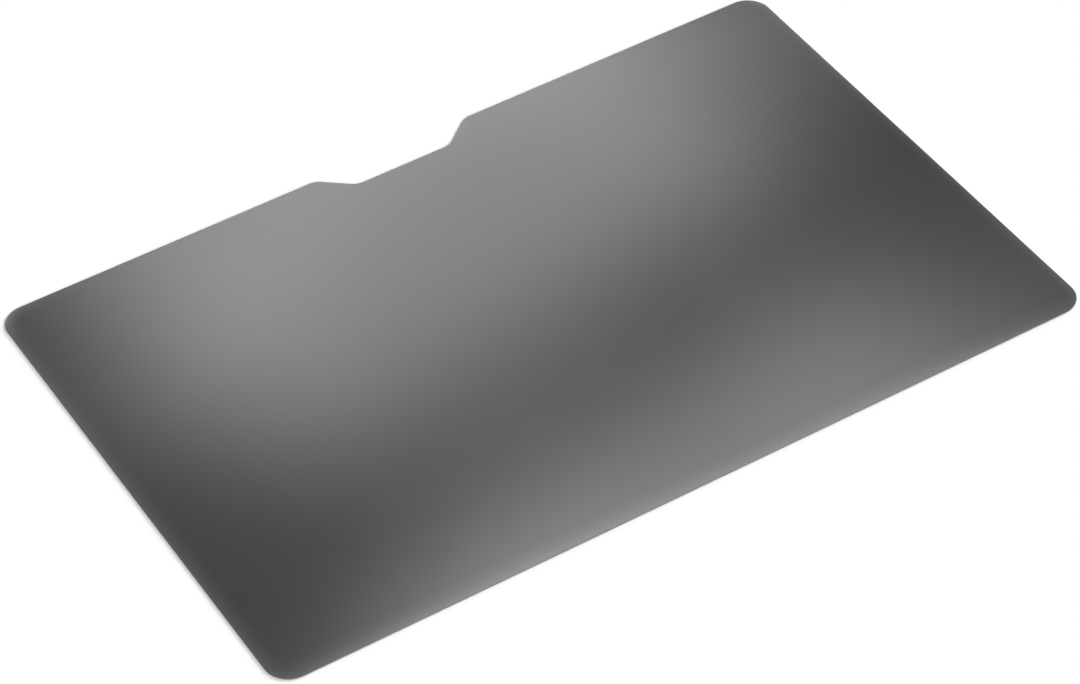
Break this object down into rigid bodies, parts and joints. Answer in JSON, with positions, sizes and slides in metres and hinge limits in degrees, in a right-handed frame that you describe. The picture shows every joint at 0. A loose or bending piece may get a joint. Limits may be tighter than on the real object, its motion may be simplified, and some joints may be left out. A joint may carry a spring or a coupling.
{
  "type": "laptop privacy filter",
  "caption": "Thin flat rectangular sheet of dark louvred film with round corners and a trapezoid camera notch in its top edge; it lies on a laptop display and hides it from the side.",
  "frame": {"origin": "middle of the face that lies on the screen, at the centre of the sheet's width and height", "axes": "+X along the long side, to the right as the user sees it; +Y towards the edge with the camera notch, which is the top of the screen; +Z out of the viewing face"},
  "size_m": [0.308, 0.2, 0.0005],
  "materials": {
    "louvre_film": "satin"
  },
  "bodies": {
    "root": {"filter_sheet": "louvre_film"}
  },
  "joints": []
}
